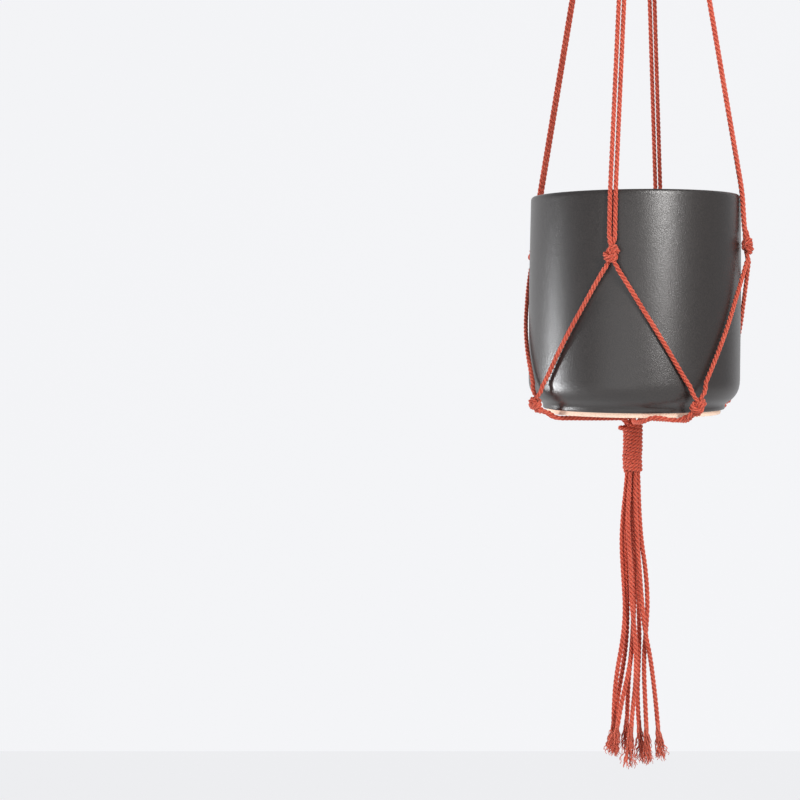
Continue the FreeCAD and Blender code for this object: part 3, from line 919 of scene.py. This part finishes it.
def make_glaze():
    """Nearly black satin glaze: mottled, with fine pits and pinpoint specks."""
    material, nodes, links = new_material("dark_speckled_glaze")
    shader = nodes["Principled BSDF"]
    place = nodes.new("ShaderNodeTexCoord").outputs["Object"]
    mottle = noise_of(nodes, links, place, 1250.0, 1.0, 0.5)
    cloudy = noise_of(nodes, links, place, 38.0, 2.0)

    colour = nodes.new("ShaderNodeValToRGB")
    colour.color_ramp.elements[0].position = 0.32
    colour.color_ramp.elements[0].color = (0.011, 0.0084, 0.0074, 1)
    colour.color_ramp.elements[1].position = 0.72
    colour.color_ramp.elements[1].color = (0.025, 0.0196, 0.0174, 1)
    links.new(mottle, colour.inputs["Fac"])
    links.new(colour.outputs["Color"], shader.inputs["Base Color"])

    matt = nodes.new("ShaderNodeMapRange")
    matt.inputs["To Min"].default_value = 0.28
    matt.inputs["To Max"].default_value = 0.44
    links.new(mottle, matt.inputs["Value"])
    links.new(matt.outputs["Result"], shader.inputs["Roughness"])

    total = nodes.new("ShaderNodeMath")
    total.operation = "ADD"
    links.new(mottle, total.inputs[0])
    links.new(cloudy, total.inputs[1])
    bump = nodes.new("ShaderNodeBump")
    bump.inputs["Strength"].default_value = 0.60
    bump.inputs["Distance"].default_value = 0.00020
    links.new(total.outputs[0], bump.inputs["Height"])
    links.new(bump.outputs["Normal"], shader.inputs["Normal"])
    shader.inputs["Specular IOR Level"].default_value = 0.78
    return material


def make_bare_clay():
    """Pale fired clay, sandy to the touch."""
    material, nodes, links = new_material("bare_clay")
    shader = nodes["Principled BSDF"]
    shader.inputs["Roughness"].default_value = 0.9
    shader.inputs["Specular IOR Level"].default_value = 0.2
    place = nodes.new("ShaderNodeTexCoord").outputs["Object"]
    sand = noise_of(nodes, links, place, 900.0, 3.0)
    colour = nodes.new("ShaderNodeValToRGB")
    colour.color_ramp.elements[0].position = 0.3
    colour.color_ramp.elements[0].color = (0.74, 0.53, 0.41, 1)
    colour.color_ramp.elements[1].position = 0.7
    colour.color_ramp.elements[1].color = (0.90, 0.69, 0.55, 1)
    links.new(sand, colour.inputs["Fac"])
    links.new(colour.outputs["Color"], shader.inputs["Base Color"])
    bump = nodes.new("ShaderNodeBump")
    bump.inputs["Strength"].default_value = 0.4
    bump.inputs["Distance"].default_value = 0.0002
    links.new(sand, bump.inputs["Height"])
    links.new(bump.outputs["Normal"], shader.inputs["Normal"])
    return material


pot = turned_shell("glazed_pot", wall_outside + wall_inside, pot_base, 192)
close_and_turn_out(pot, pot_base, wall_outside[0][1] / 1000)
pot.data.materials.append(make_glaze())
pot.data.materials.append(make_bare_clay())
for face in pot.data.polygons:
    face.material_index = 1 if face.center.z < pot_base + foot_line + 0.0001 else 0
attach(pot, "pot")
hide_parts("pot")


# ---------------------------------------------------------------------------
# The hanging ring: one turn of brass wire, its ends brazed together at the
# top and brushed smooth.
# ---------------------------------------------------------------------------
def make_brass():
    """Brushed brass, finely scratched all over."""
    material, nodes, links = new_material("brushed_brass")
    shader = nodes["Principled BSDF"]
    shader.inputs["Base Color"].default_value = (0.70, 0.50, 0.22, 1)
    shader.inputs["Metallic"].default_value = 1.0
    place = nodes.new("ShaderNodeTexCoord").outputs["Object"]
    scratches = noise_of(nodes, links, place, 1500.0, 4.0)
    matt = nodes.new("ShaderNodeMapRange")
    matt.inputs["To Min"].default_value = 0.24
    matt.inputs["To Max"].default_value = 0.42
    links.new(scratches, matt.inputs["Value"])
    links.new(matt.outputs["Result"], shader.inputs["Roughness"])
    bump = nodes.new("ShaderNodeBump")
    bump.inputs["Strength"].default_value = 0.15
    bump.inputs["Distance"].default_value = 0.0001
    links.new(scratches, bump.inputs["Height"])
    links.new(bump.outputs["Normal"], shader.inputs["Normal"])
    return material


wire_radius = 0.0025
braze_width = 0.0016
deselect_all()
bpy.ops.mesh.primitive_torus_add(major_segments=160, minor_segments=40,
                                 major_radius=ring_radius, minor_radius=wire_radius,
                                 location=(0, 0, 0), rotation=(math.pi / 2, 0, 0))
ring = bpy.context.object
ring.name = "brass_ring"
bpy.ops.object.transform_apply(rotation=True)
for vertex in ring.data.vertices:
    along = ring_radius * math.atan2(vertex.co.x, vertex.co.z)
    swell = 1 + 0.07 * math.exp(-(along / braze_width) ** 2)
    middle = Vector((vertex.co.x, 0, vertex.co.z)).normalized() * ring_radius
    vertex.co = middle + (vertex.co - middle) * swell
bpy.ops.object.shade_smooth()
ring.select_set(False)
ring.data.materials.append(make_brass())
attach(ring, "ring")
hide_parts("hanging_ring")
